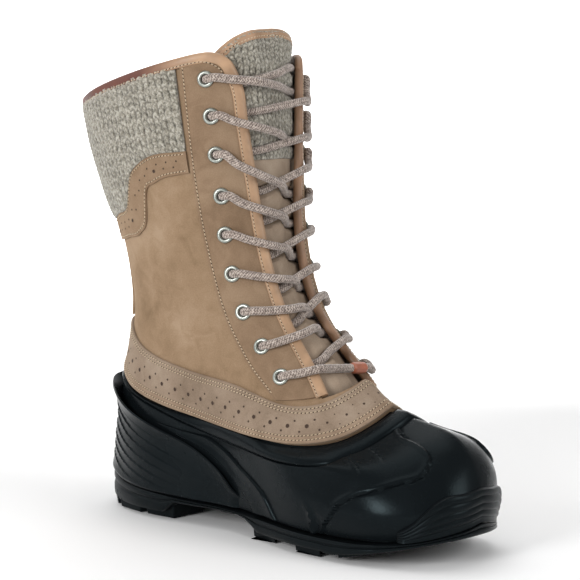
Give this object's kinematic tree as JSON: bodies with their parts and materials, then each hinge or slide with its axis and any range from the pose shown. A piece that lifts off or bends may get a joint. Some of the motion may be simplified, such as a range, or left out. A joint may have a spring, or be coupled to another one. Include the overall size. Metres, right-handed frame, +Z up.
{
  "type": "winter boot",
  "caption": "Right winter boot with a laced suede shaft, knit cuff and tongue, rubber shell foot, raised heel cup and lugged sole; it keeps a foot dry and warm.",
  "frame": {"origin": "centre of the bounding box at the ground under the sole", "axes": "+X to the toe, +Y to the inner side of the foot, +Z up"},
  "size_m": [0.3009, 0.1088, 0.2932],
  "materials": {
    "quarter_suede": "brushed suede, warm brown",
    "trim_suede": "brushed suede, darker brown",
    "mudguard_suede": "brushed suede, pinkish taupe",
    "tongue_suede": "brushed suede, grey brown",
    "knit": "soft heather-grey fabric",
    "piping_leather": "smooth rolled leather, tan",
    "keeper_leather": "smooth leather, orange brown",
    "lace_cord": "braided round lace, mauve taupe",
    "eyelet_metal": "plated, bright",
    "shell_rubber": "satin moulded rubber, near black",
    "sole_rubber": "satin moulded rubber, near black",
    "insole_foam": "felt-topped insole, grey"
  },
  "bodies": {
    "root": {"upper": "quarter_suede", "backstay": "quarter_suede", "mudguard": "mudguard_suede", "cuff_trim": "trim_suede", "eyestay_lateral": "trim_suede", "eyestay_medial": "trim_suede", "knit_cuff": "knit", "tongue": "tongue_suede", "tongue_knit": "knit", "tongue_binding": "piping_leather", "edge_binding": "piping_leather", "lace_keeper": "keeper_leather", "lace_top_bar": "lace_cord", "lace_bottom_bar": "lace_cord", "rubber_shell": "shell_rubber", "heel_cup": "shell_rubber", "stabiliser_lateral": "shell_rubber", "stabiliser_medial": "shell_rubber", "outsole": "sole_rubber", "toe_bumper": "sole_rubber", "footbed": "insole_foam", "eyelet_lateral_1": "eyelet_metal", "eyelet_lateral_2": "eyelet_metal", "eyelet_lateral_3": "eyelet_metal", "eyelet_lateral_4": "eyelet_metal", "eyelet_lateral_5": "eyelet_metal", "eyelet_lateral_6": "eyelet_metal", "eyelet_lateral_7": "eyelet_metal", "eyelet_lateral_8": "eyelet_metal", "eyelet_lateral_9": "eyelet_metal", "eyelet_medial_1": "eyelet_metal", "eyelet_medial_2": "eyelet_metal", "eyelet_medial_3": "eyelet_metal", "eyelet_medial_4": "eyelet_metal", "eyelet_medial_5": "eyelet_metal", "eyelet_medial_6": "eyelet_metal", "eyelet_medial_7": "eyelet_metal", "eyelet_medial_8": "eyelet_metal", "eyelet_medial_9": "eyelet_metal", "lace_crossing_1": "lace_cord", "lace_crossing_2": "lace_cord", "lace_crossing_3": "lace_cord", "lace_crossing_4": "lace_cord", "lace_crossing_5": "lace_cord", "lace_crossing_6": "lace_cord", "lace_crossing_7": "lace_cord", "lace_crossing_8": "lace_cord", "lace_return_1": "lace_cord", "lace_return_2": "lace_cord", "lace_return_8": "lace_cord"}
  },
  "joints": []
}
